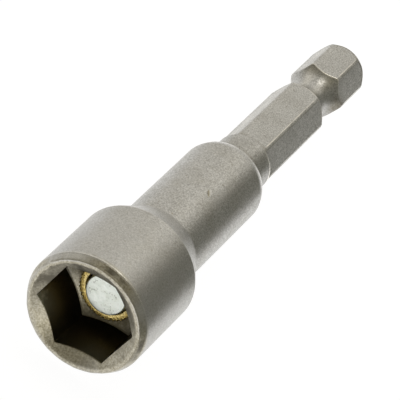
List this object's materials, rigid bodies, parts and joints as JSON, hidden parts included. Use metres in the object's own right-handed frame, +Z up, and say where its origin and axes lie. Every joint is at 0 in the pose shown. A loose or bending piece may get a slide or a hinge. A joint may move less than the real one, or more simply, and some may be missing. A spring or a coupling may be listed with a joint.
{
  "type": "hex socket bit",
  "caption": "Magnetic nut setter bit: round steel head with a hexagonal socket, conical shoulder and neck, on a hexagon drive shank with a ball groove; magnet in a brass sleeve in the socket.",
  "frame": {"origin": "middle of the length, on the surface below the head, under the tool axis", "axes": "+Y along the tool axis from the mouth to the end of the shank, +Z up, the axis level and two of the shank's six flats facing up and down"},
  "size_m": [0.0146, 0.065, 0.0146],
  "materials": {
    "socket": "sand-blasted satin, worn bright at the edges",
    "hex_shank": "sand-blasted satin, worn bright at the edges",
    "magnet_sleeve": "turned, straight knurl",
    "magnet": "nickel plate, lightly pitted"
  },
  "bodies": {
    "root": {"socket": "socket", "hex_shank": "hex_shank", "magnet_sleeve": "magnet_sleeve", "magnet": "magnet"}
  },
  "joints": []
}
